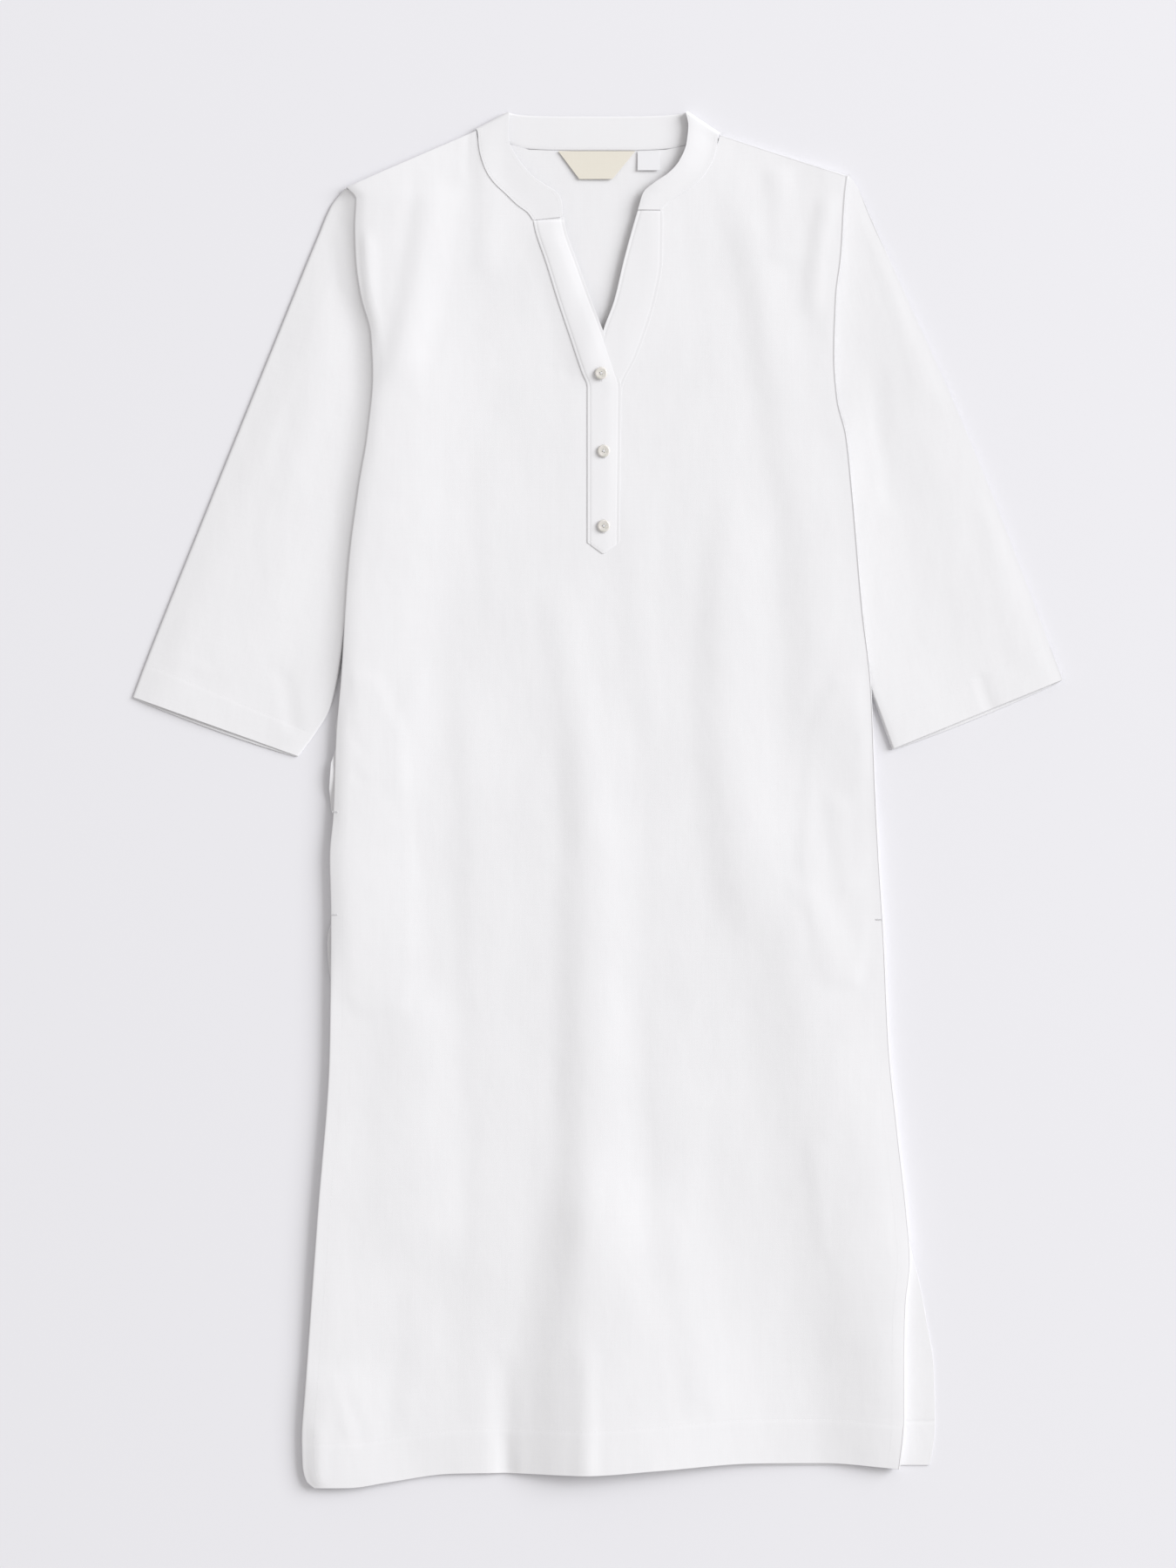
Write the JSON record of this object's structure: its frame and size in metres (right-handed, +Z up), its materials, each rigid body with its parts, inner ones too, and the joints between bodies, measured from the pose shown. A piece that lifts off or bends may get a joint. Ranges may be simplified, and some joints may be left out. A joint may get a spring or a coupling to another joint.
{
  "type": "kurta tunic",
  "caption": "Long cotton kurta laid flat on its back, with a standing neck band, a buttoned front placket, three-quarter sleeves and side slits.",
  "frame": {"origin": "on the surface that the garment lies on, under the middle of its bounding box", "axes": "+Y from the hem to the neck, +X towards the wearer's left sleeve, +Z up from the surface through the front"},
  "size_m": [0.7476, 1.1072, 0.0141],
  "materials": {
    "cloth": "plain woven white cotton, matt, lightly creased",
    "tab": "smooth white woven tape, matt",
    "label": "beige woven label with a soft satin face",
    "button": "pale pearl resin, softly glossy"
  },
  "bodies": {
    "root": {"front": "cloth", "back": "cloth", "sleeve_left": "cloth", "sleeve_right": "cloth", "neck_band": "cloth", "placket_over": "cloth", "placket_under": "cloth", "pocket_left": "cloth", "pocket_right": "cloth", "care_tab": "tab", "neck_label": "label", "button_top": "button", "button_middle": "button", "button_bottom": "button"}
  },
  "joints": []
}
